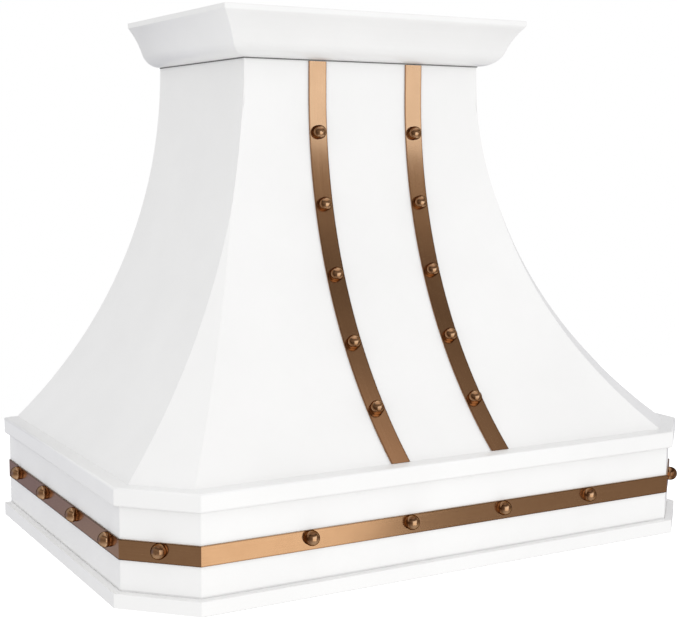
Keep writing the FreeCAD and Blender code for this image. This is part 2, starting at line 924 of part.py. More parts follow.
def build_straps():
    back = front_radius - s.strap_gap
    outer = back - s.strap_thickness
    axis = s.chimney_depth + front_radius
    low, high = s.rim_top + s.strap_end_gap, crown_bottom - s.seal_height - s.strap_end_gap
    drop = front_top - low
    corners = [
        (outer - axis, high),
        (outer - axis, front_top),
        (root(outer * outer - drop * drop) - axis, low),
        (root(back * back - drop * drop) - axis, low),
        (back - axis, front_top),
        (back - axis, high),
    ]
    for side, x in (("left", -s.strap_spacing / 2), ("right", s.strap_spacing / 2)):
        blank = new_body(side + "_strap_blank")
        sketch = new_sketch(blank, "section", "YZ")
        draw(sketch, corners, {1: -outer, 3: back})
        pad(blank, sketch, s.strap_width, "Symmetric")
        place(blank, x)
        places = strap_places(x.value)
        drilled(side + "_strap", blank, shank_holes(side + "_strap_holes", places))
        keep(from_shape(side + "_strap_rivets", spread(rivet(s.strap_thickness.value), places)))


def build_band():
    blank = new_body("band_blank")
    sketch = new_sketch(blank, "outline", "XY", s.band_bottom)
    draw(sketch, wrap(s.strap_thickness) + wrap(0)[::-1])
    pad(blank, sketch, s.band_width)
    places = band_places()
    drilled("apron_band", blank, shank_holes("band_holes", places))
    keep(from_shape("band_rivets", spread(rivet(s.strap_thickness.value), places)))


# Duct plate, collar and damper

def pan_screw(length):
    """A pan-head screw standing on the plane Z = 0 with its shank below."""
    head = Part.makeCylinder(s.screw_head.value / 2, s.screw_head_height.value)
    head = head.makeFillet(s.screw_head_round.value, [head.Edges[0]])
    shank = Part.makeCylinder(s.screw_shank.value / 2, length.value, FreeCAD.Vector(0, 0, -length.value))
    return head.fuse(shank).removeSplitter()


def outlet_screws():
    """Screw places round the blower's outlet, seen from the duct's axis: the corners of its flange."""
    x = outlet_half_x + s.outlet_flange_width / 2
    y = s.blower_width / 2 + s.outlet_flange_width / 2
    return [(way_x * x, way_y * y) for way_x in (-1, 1) for way_y in (-1, 1)]


def build_duct():
    side = half_chimney - s.sheet - s.fit_gap
    front = s.chimney_depth - s.sheet - s.fit_gap
    rear = s.sheet + s.fit_gap
    holes = [((0, duct_y), 2 * bore_radius), (gland_place(), gland_hole)]
    holes += [((x, duct_y + y), s.screw_hole) for x, y in outlet_screws()]
    plate("duct_plate", "XY", rectangle(-side, side, -front, -rear), s.sheet, plate_bottom, holes=holes)

    # four strips round the plate, so that the space for the duct stays open
    strips = new_body("plate_upstands")
    walls = new_sketch(strips, "walls", "XY", plate_top)
    inner = side - s.sheet
    between = inner - s.fit_gap
    draw(walls, rectangle(-side, -inner, -front, -rear))
    draw(walls, rectangle(inner, side, -front, -rear))
    draw(walls, rectangle(-between, between, -front, s.sheet - front))
    draw(walls, rectangle(-between, between, -rear - s.sheet, -rear))
    pad(strips, walls, s.plate_upstand - s.sheet)
    holes = new_sketch(strips, "side_holes", "YZ")
    for y in side_screws():
        circle(holes, (y, screw_z), s.screw_hole)
    cut(strips, holes)
    holes = new_sketch(strips, "front_holes", "XZ", front)
    for x in front_screws():
        circle(holes, (x, screw_z), s.screw_hole)
    cut(strips, holes, 2 * s.sheet)
    keep(strips)

    x, y = outlet_screws()[-1]
    flange = root(x * x + y * y) + s.screw_margin
    section = [
        (bore_radius, 0),
        (flange, 0),
        (flange, s.sheet),
        (collar_radius, s.sheet),
        (collar_radius, s.collar_length),
        (bore_radius, s.collar_length),
    ]
    collar = turned("duct_collar", section)
    rod_holes = new_sketch(collar, "rod_holes", "XZ")
    circle(rod_holes, (0, s.damper_height), s.damper_rod + s.rod_hole_clearance)
    cut(collar, rod_holes)
    screw_holes = new_sketch(collar, "screw_holes", "XY")
    for centre in outlet_screws():
        circle(screw_holes, centre, s.screw_hole)
    cut(collar, screw_holes)
    place(collar, 0, duct_y, plate_top)
    build_duct_screws(side.value, front.value)


def build_duct_screws(side, front):
    z, sheet = screw_z.value, s.sheet.value
    places = []
    for y in side_screws():
        for turn in (-1, 1):
            places.append((FreeCAD.Vector(turn * (side - sheet), y.value, z), FreeCAD.Vector(-turn, 0, 0)))
    for x in front_screws():
        places.append((FreeCAD.Vector(x.value, sheet - front, z), FreeCAD.Vector(0, 1, 0)))
    keep(from_shape("plate_screws", spread(pan_screw(s.plate_screw_length), places)))

    up = FreeCAD.Vector(0, 0, 1)
    top = plate_top.value + sheet
    seats = [FreeCAD.Vector(x.value, duct_y.value + y.value, top) for x, y in outlet_screws()]
    keep(from_shape("collar_screws", spread(pan_screw(s.screw_length), [(seat, up) for seat in seats])))


def build_damper():
    rod = doc.addObject("Part::Cylinder", "damper_rod")
    rod.Label = "damper_rod"
    bind(rod, "Radius", s.damper_rod / 2)
    bind(rod, "Height", s.collar_diameter - 2 * s.rod_end_gap)
    rod.Placement = FreeCAD.Placement(FreeCAD.Vector(0, 0, 0), LAID_FORWARD)
    place(rod, 0, duct_y + collar_radius - s.rod_end_gap, plate_top + s.damper_height)
    keep(rod)

    reach = bore_radius - s.flap_clearance
    pitch = 2 * (bore_radius - s.sleeve_margin) / SLEEVES
    length = pitch - s.sleeve_gap
    half = s.flap_thickness / 2
    chord = 0.62 * s.damper_sleeve
    end = root(reach * reach - chord * chord)
    for side, turn, first in (("left", -1, 0), ("right", 1, 1)):
        flap = new_body(side + "_damper_flap")
        disc = new_sketch(flap, "disc", "XY", -half)
        corners = [(turn * chord, -turn * end), (turn * reach, 0), (turn * chord, turn * end)]
        draw(disc, corners, {0: reach, 1: reach})
        pad(flap, disc, s.flap_thickness)
        for number in range(first, SLEEVES, 2):
            start = (number - SLEEVES / 2) * pitch + s.sleeve_gap / 2
            tab = new_sketch(flap, f"tab{number}", "XZ", start)
            near, far = (-2 * chord, -0.3 * chord) if turn < 0 else (0.3 * chord, 2 * chord)
            draw(tab, rectangle(near, far, -half, half))
            pad(flap, tab, length)
            tube = new_sketch(flap, f"sleeve{number}", "XZ", start)
            circle(tube, (0, 0), s.damper_sleeve)
            pad(flap, tube, length)
        bore = new_sketch(flap, "bore", "XZ")
        circle(bore, (0, 0), s.damper_rod + s.sleeve_clearance)
        cut(flap, bore)
        place(flap, 0, duct_y, plate_top + s.damper_height)
        keep(flap)


# Blower

def scroll(grow):
    """Outline of the volute, grown by a wall: three arcs, then the outlet and its rounded tongue."""
    step, radius, bend = s.scroll_step, scroll_radius, s.tongue_round
    x, z, top = blower_x, blower_z, plate_bottom
    right = x + outlet_right + grow
    tongue = x + s.tongue_setback + s.blower_sheet - grow
    crest = z + radius + grow
    turn = bend + s.blower_sheet - grow
    corners = [
        (right, top),
        (tongue, top),
        (tongue, crest + turn),
        (tongue - turn, crest),
        (x, crest),
        (x - radius - grow, z),
        (x + step, z - radius - step - grow),
        (right, z + step),
    ]
    arcs = {2: -turn, 4: radius + grow, 5: radius + step + grow, 6: radius + 2 * step + grow}
    return corners, arcs


def build_blower():
    sheet, bend = s.blower_sheet, s.inlet_bend
    housing = new_body("blower_housing")
    outline = new_sketch(housing, "outline", "XZ", blower_rear)
    draw(outline, *scroll(sheet))
    circle(outline, (blower_x, blower_z), 2 * s.shaft_diameter)
    pad(housing, outline, s.blower_width)
    hollow = new_sketch(housing, "hollow", "XZ", blower_front)
    draw(hollow, *scroll(0))
    cut(housing, hollow, s.blower_width - sheet)
    keep(housing)

    corners, arcs = scroll(sheet)
    inlet = ((blower_x, blower_z), s.inlet_diameter + 2 * (sheet + bend + s.fit_gap))
    plate("blower_face", "XZ", corners, sheet, blower_front, arcs, [inlet])

    throat = s.inlet_diameter / 2
    rim = throat + s.inlet_flange
    section = [
        (throat, -s.inlet_depth),
        (throat + sheet, -s.inlet_depth),
        (throat + sheet, -bend),
        (throat + sheet + bend, 0),
        (rim, 0),
        (rim, sheet),
        (throat + sheet + bend, sheet),
        (throat, -bend),
    ]
    ring = turned("inlet_ring", section, {2: -bend, 6: bend + sheet})
    face_forward(ring, blower_front + sheet)

    half_y = s.blower_width / 2
    flange = new_body("outlet_flange")
    sketch = new_sketch(flange, "outline", "XY", plate_bottom - sheet)
    side, edge = outlet_half_x + s.outlet_flange_width, half_y + s.outlet_flange_width
    draw(sketch, rectangle(-side, side, duct_y - edge, duct_y + edge))
    side, edge = outlet_half_x + sheet + s.fit_gap / 2, half_y + s.fit_gap / 2
    draw(sketch, rectangle(-side, side, duct_y - edge - sheet, duct_y + edge))
    for x, y in outlet_screws():
        circle(sketch, (x, duct_y + y), s.screw_hole)
    pad(flange, sketch, sheet)
    keep(flange)


def face_forward(piece, distance):
    """Stand a turned piece on the blower's axis with its Z axis pointing to the front."""
    piece.Placement = FreeCAD.Placement(FreeCAD.Vector(0, 0, 0), LAID_FORWARD)
    place(piece, blower_x, -distance, blower_z)


def build_motor():
    length = blower_rear - s.motor_wall_clearance
    radius, shaft, bend = s.motor_diameter / 2, s.shaft_diameter / 2, s.motor_round
    hole = shaft + s.bearing_clearance
    foot = radius + s.motor_flange
    section = [
        (hole, 0),
        (foot, 0),
        (foot, -s.motor_flange_thickness),
        (radius, -s.motor_flange_thickness),
        (radius, bend - length),
        (radius - bend, -length),
        (0, -length),
        (0, s.motor_end - length),
        (hole, s.motor_end - length),
    ]
    motor = turned("blower_motor", section, {4: -bend})
    face_forward(motor, blower_rear)

    low = s.motor_end + s.shaft_end_gap - length
    bar = turned("motor_shaft", rectangle(0, shaft, low, s.impeller_gap + s.hub_length + s.shaft_end_gap))
    face_forward(bar, blower_rear)
    build_impeller()


def build_impeller():
    """Squirrel-cage wheel: back disc with hub, forward-curved blades and a front ring."""
    radius = s.impeller_diameter / 2
    inner = radius - s.blade_depth
    start, length = s.impeller_gap, s.blower_width - 2 * s.impeller_gap
    hub = s.shaft_diameter / 2 + s.hub_clearance
    disc_top, hub_top = start + s.impeller_disc, start + s.hub_length
    wheel = new_body("impeller")
    section = [
        (hub, start),
        (radius, start),
        (radius, disc_top),
        (s.hub_diameter / 2, disc_top),
        (s.hub_diameter / 2, hub_top),
        (hub, hub_top),
    ]
    disc = new_sketch(wheel, "disc", "XZ")
    draw(disc, section)
    revolve(wheel, disc)
    blade = new_sketch(wheel, "blade", "XY", start)
    thick, tip = s.blade_thickness, radius - s.blade_tip_inset
    lead, curve = 0.55 * s.blade_depth, 1.1 * s.blade_depth
    corners = [(inner, 0), (tip, -lead), (tip, thick * 1.3 - lead), (inner, thick)]
    draw(blade, corners, {0: curve, 2: -curve})
    vane = pad(wheel, blade, length)
    doc.recompute()
    vanes = wheel.newObject("PartDesign::PolarPattern", "impeller_vanes")
    vanes.Originals = [vane]
    vanes.Axis = (blade, ["N_Axis"])
    vanes.Angle = 360
    vanes.Occurrences = BLADES
    wheel.Tip = vanes
    doc.recompute()
    ring = new_sketch(wheel, "ring", "XY", start + length - s.impeller_ring)
    circle(ring, (0, 0), 2 * radius)
    circle(ring, (0, 0), 2 * inner)
    pad(wheel, ring, s.impeller_ring)
    face_forward(wheel, blower_rear)
    keep(wheel)


# Liner and baffle filters

def build_liner():
    sheet = s.liner_sheet
    inset = -s.liner_inset
    low = s.flange_height - sheet
    pan = new_body("liner_pan")
    flange = new_sketch(pan, "flange", "XY", low)
    draw(flange, wrap(-s.liner_setback) + wrap(inset - sheet)[::-1])
    for centre in liner_screw_places():
        circle(flange, centre, s.screw_hole)
    pad(pan, flange, sheet)
    walls = new_sketch(pan, "walls", "XY", low)
    draw(walls, wrap(inset))
    draw(walls, wrap(inset - sheet, wall - sheet))
    pad(pan, walls, roof - low)
    top = new_sketch(pan, "roof", "XY", roof)
    draw(top, wrap(inset))
    gap = s.filter_gap
    opening = rectangle(filter_left - gap, filter_right + gap, filter_front - gap, filter_rear + 2 * gap)
    draw(top, opening)
    draw(top, [(-x, y) for x, y in opening])
    draw(top, rectangle(*control_opening(0)))
    for x in (-s.lamp_spacing / 2, s.lamp_spacing / 2):
        circle(top, (x, strip_y), s.lamp_diameter + s.lamp_hole_clearance)
    pad(pan, top, sheet)
    keep(pan)

    down = FreeCAD.Vector(0, 0, -1)
    seats = [FreeCAD.Vector(x.value, y.value, low.value) for x, y in liner_screw_places()]
    keep(from_shape("liner_screws", spread(pan_screw(s.screw_length), [(seat, down) for seat in seats])))


def control_opening(grow):
    """Sides of the hole for the buttons, moved outward: left, right, front and rear."""
    half_x = s.control_length / 2 - s.bezel_end + grow
    half_y = s.control_depth / 2 - s.bezel_side + grow
    return -half_x, half_x, strip_y - half_y, strip_y + half_y


def build_filters():
    border, thick, pin = s.filter_border, s.filter_thickness, s.pivot_length
    frame = new_body("left_filter_frame")
    outline = new_sketch(frame, "outline", "XY", roof)
    draw(outline, *rounded(filter_left, filter_right, filter_front, filter_rear, s.filter_corner))
    left, right = filter_left + border, filter_right - border
    draw(outline, rectangle(left, right, filter_front + border, filter_rear - border))
    pad(frame, outline, thick)
    for name, start in (("outer_pivot", filter_left - pin), ("inner_pivot", filter_right + pin - border)):
        pivot = new_sketch(frame, name, "YZ", start)
        circle(pivot, (pivot_y, pivot_z), s.pivot_diameter)
        pad(frame, pivot, border)
    keep(frame)
    mirrored("right_filter_frame", frame)

    baffles = build_baffles()
    mirrored("right_filter_baffles", baffles)

    knob, neck, height = s.knob_diameter / 2, s.knob_neck / 2, s.knob_height
    edge, grip = s.knob_edge, s.knob_grip
    section = [
        (0, -height),
        (knob - edge, -height),
        (knob, edge - height),
        (knob, grip - height),
        (neck, 2 * grip - edge - height),
        (neck, -neck),
        (2 * neck, 0),
        (0, 0),
    ]
    for side, x in (("left", filter_x), ("right", -filter_x)):
        handle = turned(side + "_filter_handle", section, {1: edge, 5: -neck})
        place(handle, x, filter_front + border / 2, roof)
    build_filter_mounts()


def build_baffles():
    """Two rows of channels facing each other, so that the air has to turn twice."""
    border, sheet = s.filter_border, s.baffle_sheet
    half, pitch = s.baffle_width / 2, s.baffle_pitch
    length = filter_rear - filter_front - 2 * border
    rise = 0.62 * s.filter_thickness
    space = filter_width - 2 * border
    count = int((space.value - s.baffle_width.value) // pitch.value) + 1
    first = filter_x - (count - 1) / 2 * pitch
    low, high = roof + s.baffle_inset, roof + s.filter_thickness - s.baffle_inset
    baffles = new_body("left_filter_baffles")
    rows = (("lower", first, low, 1, count), ("upper", first + pitch / 2, high, -1, count - 1))
    for name, x, base, way, number in rows:
        section = new_sketch(baffles, name, "XZ", -(filter_rear - border))
        left, right = x - half, x + half
        floor, lip = base + way * sheet, base + way * rise
        channel = [(left, base), (right, base), (right, lip), (right - sheet, lip)]
        channel += [(right - sheet, floor), (left + sheet, floor), (left + sheet, lip), (left, lip)]
        draw(section, channel)
        blade = pad(baffles, section, length)
        doc.recompute()
        row = baffles.newObject("PartDesign::LinearPattern", f"{name}_row")
        row.Originals = [blade]
        row.Direction = (section, ["H_Axis"])
        row.Mode = "Spacing"
        bind(row, "Offset", pitch)
        row.Occurrences = number
        baffles.Tip = row
        doc.recompute()
    return keep(baffles)


def build_filter_mounts():
    top = roof + s.liner_sheet
    plates = []
    for x, turn in ((filter_left - s.bracket_gap, -1), (filter_right + s.bracket_gap, 1)):
        for mirror in (1, -1):
            plates.append(pivot_bracket(mirror * x.value, mirror * turn, top.value))
    keep(from_shape("filter_brackets", Part.makeCompound(plates)))

    clips = []
    for x in (filter_x.value, -filter_x.value):
        clips.append(filter_clip(x, filter_front.value - s.fit_gap.value, top.value))
    keep(from_shape("filter_clips", Part.makeCompound(clips)))


def pivot_bracket(x, turn, z):
    """An upright ear with a bored hole, on a foot that stands on the liner's roof."""
    width, sheet, foot = s.bracket_width.value, s.bracket_sheet.value, s.bracket_foot.value
    height = pivot_z.value - z + width / 2
    rear = pivot_y.value - width / 2
    ear = Part.makeBox(sheet, width, height, FreeCAD.Vector(min(x, x + turn * sheet), rear, z))
    base = Part.makeBox(foot, width, sheet, FreeCAD.Vector(min(x, x + turn * foot), rear, z))
    bore = s.pivot_diameter.value / 2 + s.bearing_clearance.value
    start = FreeCAD.Vector(x - foot, pivot_y.value, pivot_z.value)
    hole = Part.makeCylinder(bore, 2 * foot, start, FreeCAD.Vector(1, 0, 0))
    return ear.fuse(base).cut(hole).removeSplitter()


def filter_clip(x, y, z):
    """A leaf that bears on the filter's front edge."""
    width, depth, sheet = s.clip_width.value, s.clip_depth.value, s.clip_sheet.value
    leaf = Part.makeBox(width, sheet, s.clip_height.value, FreeCAD.Vector(x - width / 2, y - sheet, z))
    foot = Part.makeBox(width, depth, sheet, FreeCAD.Vector(x - width / 2, y - depth, z))
    return leaf.fuse(foot).removeSplitter()


# Lamps, controls and wiring box

def build_lamps():
    radius, height, wall_thickness = s.lamp_diameter / 2, s.lamp_height, s.lamp_wall
    mouth, rim, face = radius - 2 * wall_thickness, s.lamp_rim, s.lamp_face
    lens, seat = s.lens_thickness, s.lamp_seat
    section = [
        (mouth, -face),
        (radius + rim, -face),
        (radius + rim, 0),
        (radius, 0),
        (radius, height),
        (0, height),
        (0, height - wall_thickness),
        (radius - wall_thickness, height - wall_thickness),
        (radius - wall_thickness, -seat),
        (mouth, -seat),
    ]
    disc = rectangle(0, radius - wall_thickness - s.fit_gap, s.lens_gap - seat, s.lens_gap + lens - seat)
    for side, x in (("left", -s.lamp_spacing / 2), ("right", s.lamp_spacing / 2)):
        housing = turned(side + "_lamp_housing", section)
        place(housing, x, strip_y, roof)
        glass = turned(side + "_lamp_lens", disc)
        place(glass, x, strip_y, roof)


def button_places():
    middle = (len(BUTTONS) - 1) / 2
    return [(number - middle) * s.button_pitch for number in range(len(BUTTONS))]


def build_controls():
    half_x, half_y, front = s.control_length / 2, s.control_depth / 2, roof - s.bezel_thickness
    holes = [((x, strip_y), s.button_diameter + s.button_clearance) for x in button_places()]
    frame, bends = rounded(-half_x, half_x, strip_y - half_y, strip_y + half_y, s.bezel_corner)
    plate("control_bezel", "XY", frame, s.bezel_thickness, front, bends, holes)

    radius, proud, edge = s.button_diameter / 2, s.button_proud, s.button_edge
    skirt, low = radius + s.button_skirt, s.bezel_thickness + s.skirt_gap
    high = low + s.skirt_thickness
    section = [
        (0, -proud),
        (radius - edge, -proud),
        (radius, edge - proud),
        (radius, low),
        (skirt, low),
        (skirt, high),
        (0, high),
    ]
    for name, x in zip(BUTTONS, button_places()):
        button = turned(f"button_{name}", section, {1: edge})
        place(button, x, strip_y, front)

    foot, thick, height = roof + s.liner_sheet, s.case_wall, s.case_height
    case = new_body("control_box")
    outline = new_sketch(case, "outline", "XY", foot)
    draw(outline, rectangle(*control_opening(2 * thick)))
    pad(case, outline, height)
    hollow = new_sketch(case, "hollow", "XY", foot + height - thick)
    draw(hollow, rectangle(*control_opening(thick)))
    cut(case, hollow, height - thick)
    keep(case)

    board = new_body("switch_board")
    switch_foot = front + high + s.button_room
    sheet = new_sketch(board, "sheet", "XY", switch_foot + s.switch_height)
    draw(sheet, rectangle(*control_opening(thick - s.board_gap)))
    pad(board, sheet, s.board_thickness)
    switches = new_sketch(board, "switches", "XY", switch_foot)
    for x in button_places():
        circle(switches, (x, strip_y), s.switch_diameter)
    pad(board, switches, s.switch_height + s.board_thickness / 8)
    keep(board)


def gland_place():
    return 0.72 * half_chimney, -0.3 * s.chimney_depth


def build_wiring():
    x, y = gland_place()
    left, right = x - s.box_length / 2, x + s.box_length / 2
    front, rear = y - s.box_depth / 2, y + s.box_depth / 2
    sheet, low, lip = s.sheet, plate_bottom - s.box_height, s.cover_lip
    box = new_body("junction_box")
    outline = new_sketch(box, "outline", "XY", low)
    draw(outline, rectangle(left, right, front, rear))
    pad(box, outline, s.box_height)
    hollow = new_sketch(box, "hollow", "XY", plate_bottom - sheet)
    draw(hollow, rectangle(left + sheet, right - sheet, front + sheet, rear - sheet))
    cut(box, hollow, s.box_height - sheet)
    hole = new_sketch(box, "gland_hole", "XY")
    circle(hole, (x, y), gland_hole)
    cut(box, hole)
    keep(box)
    cover = rectangle(left - lip, right + lip, front - lip, rear + lip)
    plate("junction_cover", "XY", cover, sheet, low - sheet)

    bore = s.gland_bore / 2
    thread, nut, cap = bore + s.gland_wall, bore + s.gland_nut, bore + s.gland_cap
    cap_top = s.nut_height + s.cap_height
    section = [
        (bore, -s.gland_length),
        (thread, -s.gland_length),
        (thread, 0),
        (nut, 0),
        (nut, s.nut_height),
        (cap, s.nut_height),
        (cap, cap_top),
        (bore + s.gland_mouth, cap_top + s.gland_dome),
        (bore, cap_top + s.gland_dome),
    ]
    gland = turned("cable_gland", section, {6: s.gland_round})
    place(gland, x, y, plate_top)


def export():
    doc.recompute()
    for item in doc.Objects:
        if "Invalid" in item.State or "Error" in item.State:
            raise RuntimeError(f"{item.Label} did not compute: {item.State}")
    os.makedirs("parts", exist_ok=True)
    for piece in pieces:
        shape = piece.Shape
        if shape.isNull() or not shape.isValid():
            raise RuntimeError(f"{piece.Label} has no valid shape")
        shape.exportStep(f"parts/{piece.Label}.step")


build_panels()
build_back()
build_trim()
build_rim()
build_crown()
build_straps()
build_band()
build_duct()
build_damper()
build_blower()
build_motor()
build_liner()
build_filters()
build_lamps()
build_controls()
build_wiring()
export()
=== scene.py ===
import math

import bpy
from mathutils import Matrix, Vector


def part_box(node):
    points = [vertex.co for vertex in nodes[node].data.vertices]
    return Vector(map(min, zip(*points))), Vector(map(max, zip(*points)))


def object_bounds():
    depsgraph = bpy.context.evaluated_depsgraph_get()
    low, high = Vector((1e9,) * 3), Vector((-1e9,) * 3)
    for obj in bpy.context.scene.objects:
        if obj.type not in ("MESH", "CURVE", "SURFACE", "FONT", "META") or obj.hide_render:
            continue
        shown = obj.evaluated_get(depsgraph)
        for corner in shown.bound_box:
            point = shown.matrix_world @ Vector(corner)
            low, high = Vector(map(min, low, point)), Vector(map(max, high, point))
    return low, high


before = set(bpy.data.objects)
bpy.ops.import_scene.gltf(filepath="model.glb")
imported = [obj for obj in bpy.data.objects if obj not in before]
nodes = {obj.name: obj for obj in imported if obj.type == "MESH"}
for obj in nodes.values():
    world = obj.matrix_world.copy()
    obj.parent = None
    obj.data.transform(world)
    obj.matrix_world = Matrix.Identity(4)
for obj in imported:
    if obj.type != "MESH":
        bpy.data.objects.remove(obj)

# Looks of a wall-mounted range hood: white painted shell, copper straps and rivets, steel underside.
# Metres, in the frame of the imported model: the wall is y = 0, the front faces -y and z rises.

cad_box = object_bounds()

# Straps and band, darker along their edges by place, and rivets with painted shade round their heads
STRAP_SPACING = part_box("right_strap")[0].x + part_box("right_strap")[1].x
STRAP_HALF = (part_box("right_strap")[1].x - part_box("right_strap")[0].x) / 2
BAND_MIDDLE = (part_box("apron_band")[0].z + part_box("apron_band")[1].z) / 2
BAND_HALF = (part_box("apron_band")[1].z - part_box("apron_band")[0].z) / 2
BAND_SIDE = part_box("apron_band")[1].x
BAND_FRONT = -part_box("apron_band")[0].y
BAND_CORNER = 0.65996  # the corner faces, from the wall's middle along the diagonal
ARC_Y, ARC_Z, ARC_RADIUS = -0.94588, 0.644, 0.63568  # the straps' outer faces, an arc round this axis

# Where the darker edges, the painted shade on rivet heads and the painted shade in the apron's joints start
# and end
EDGE_LINE_START, EDGE_LINE_FULL = 0.0016, 0.0004  # inward from the edge
FRONT_EDGE_SHARE = 0.6
SIDE_EDGE_START, SIDE_EDGE_FULL = BAND_SIDE - 0.004, BAND_SIDE - 0.003
# painted shade on rivet heads: the heights where it darkens and where it clears
HEAD_DARKENS, HEAD_CLEARS = (0.0035, 0.0070), (0.0080, 0.0126)  # height on a rivet
HEAD_FOOT_SHARE = 0.65
FLANK_CLEARS = (0.0036, 0.0052)
FLANK_BLEND = 0.001
SEAM_OFFSET = 0.0005
# painted shade along the apron's joints with the trim and the rim: its tone and its reach from the joint
CREASE_SHADE_TONE, CREASE_SHADE_REACH = 0.87, (0.0011, 0.0019)

# Brush marks: repeats per metre along x, y and z
ACROSS_X = (1500, 14, 14)
ACROSS_Y = (14, 1500, 14)
ACROSS_Z = (9, 9, 1500)
EVEN = (420, 420, 420)

# Rounding of folded edges
SOFT_EDGES = ("ledge_rim", "bottom_trim", "apron", "crown_moulding")
SOFT_WIDTH, SOFT_SEGMENTS, SOFT_ANGLE = 0.0010, 2, math.radians(35)
WELD_DISTANCE = 0.00001

# Stage
FLOOR_HEIGHT, FLOOR_SIZE = -4, 40
TENT_RADIUS, TENT_STEP = 1.9, 2
IMAGE_WIDTH = 679
SENSOR_WIDTH = 36


# Shader helpers

def put(tree, socket, value):
    """Set a socket to a number or colour, or link another socket to it."""
    if isinstance(value, bpy.types.NodeSocket):
        tree.links.new(value, socket)
    else:
        socket.default_value = value


def add(tree, kind, sockets=None, **settings):
    """Add a shader node with the given sockets and settings."""
    node = tree.nodes.new("ShaderNode" + kind)
    for name, value in settings.items():
        setattr(node, name, value)
    for name, value in (sockets or {}).items():
        put(tree, node.inputs[name], value)
    return node


def colour(red, green, blue):
    return (red, green, blue, 1)


BLACK, WHITE = colour(0, 0, 0), colour(1, 1, 1)


def blank_material(name):
    material = bpy.data.materials.new(name)
    material.use_nodes = True
    material.node_tree.nodes.clear()
    return material, material.node_tree


def show(tree, surface):
    put(tree, add(tree, "OutputMaterial").inputs["Surface"], surface)


def new_material(name, **surface):
    """A material with one Principled shader, whose sockets are given by name."""
    material, tree = blank_material(name)
    shader = add(tree, "BsdfPrincipled", {key.replace("_", " "): value for key, value in surface.items()})
    show(tree, shader.outputs["BSDF"])
    return material, tree, shader


def coat(tree, shader, tint, roughness, height, distance, strength):
    """Give a shader its colour and roughness, and bumps of a height pattern."""
    put(tree, shader.inputs["Base Color"], tint)
    put(tree, shader.inputs["Roughness"], roughness)
    bump = add(tree, "Bump", {"Height": height, "Distance": distance, "Strength": strength})
    put(tree, shader.inputs["Normal"], bump.outputs["Normal"])


def position(tree, scale=(1, 1, 1)):
    """Place on the object in metres, stretched by a scale for each axis."""
    where = add(tree, "TexCoord").outputs["Object"]
    return add(tree, "Mapping", {"Vector": where, "Scale": scale}).outputs["Vector"]


def xyz(tree, scale=(1, 1, 1)):
    parts = add(tree, "SeparateXYZ", {"Vector": position(tree, scale)}).outputs
    return parts["X"], parts["Y"], parts["Z"]


def noise(tree, where, scale, detail=3, roughness=0.55):
    sockets = {"Vector": where, "Scale": scale, "Detail": detail, "Roughness": roughness}
    return add(tree, "TexNoise", sockets).outputs["Fac"]


def between(tree, factor, low, high, start=0.3, end=0.7):
    """Map a factor from start..end to low..high."""
    sockets = {"Value": factor, "From Min": start, "From Max": end, "To Min": low, "To Max": high}
    return add(tree, "MapRange", sockets).outputs["Result"]


def ramp(tree, factor, stops):
    node = add(tree, "ValToRGB", {"Fac": factor})
    points = node.color_ramp.elements
    while len(points) < len(stops):
        points.new(0.5)
    for point, (at, tint) in zip(points, stops):
        point.position = at
        point.color = tint
    return node.outputs["Color"]


def math_node(tree, operation, first, second=0):
    node = add(tree, "Math", operation=operation)
    put(tree, node.inputs[0], first)
    put(tree, node.inputs[1], second)
    return node.outputs["Value"]


def distance_from(tree, value, middle):
    return math_node(tree, "ABSOLUTE", math_node(tree, "SUBTRACT", value, middle))


def mix_colours(tree, factor, first, second, blend="MIX"):
    node = add(tree, "Mix", data_type="RGBA", blend_type=blend)
    factors = [socket for socket in node.inputs if socket.identifier == "Factor_Float"]
    colours = [socket for socket in node.inputs if socket.identifier in ("A_Color", "B_Color")]
    for socket, value in zip(factors + colours, (factor, first, second)):
        put(tree, socket, value)
    return next(socket for socket in node.outputs if socket.identifier == "Result_Color")


def multiply(tree, first, second):
    return mix_colours(tree, 1, first, second, "MULTIPLY")


# Materials

def white_coat(name, shaded_seams=()):
    """Baked white paint with a faint orange peel; at each of the given seam heights a thin grey line of
    painted shade lies along the joint.
    """
    material, tree, shader = new_material(name, IOR=1.5, Coat_Weight=0.15, Coat_Roughness=0.25)
    where = position(tree)
    tint = ramp(tree, noise(tree, where, 6, 4), [
        (0.3, colour(0.857, 0.857, 0.855)),
        (0.7, colour(0.887, 0.887, 0.885)),
    ])
    # painted shade: a thin grey line along each joint, darkest at the joint
    for seam in shaded_seams:
        away = distance_from(tree, xyz(tree)[2], seam)
        crease_shade = between(tree, away, CREASE_SHADE_TONE, 1, *CREASE_SHADE_REACH)
        grey = add(tree, "CombineColor", {"Red": crease_shade, "Green": crease_shade, "Blue": crease_shade})
        tint = multiply(tree, tint, grey.outputs["Color"])
    roughness = between(tree, noise(tree, where, 40), 0.36, 0.46)
    coat(tree, shader, tint, roughness, noise(tree, where, 520, 2), 0.00004, 0.5)
    return material


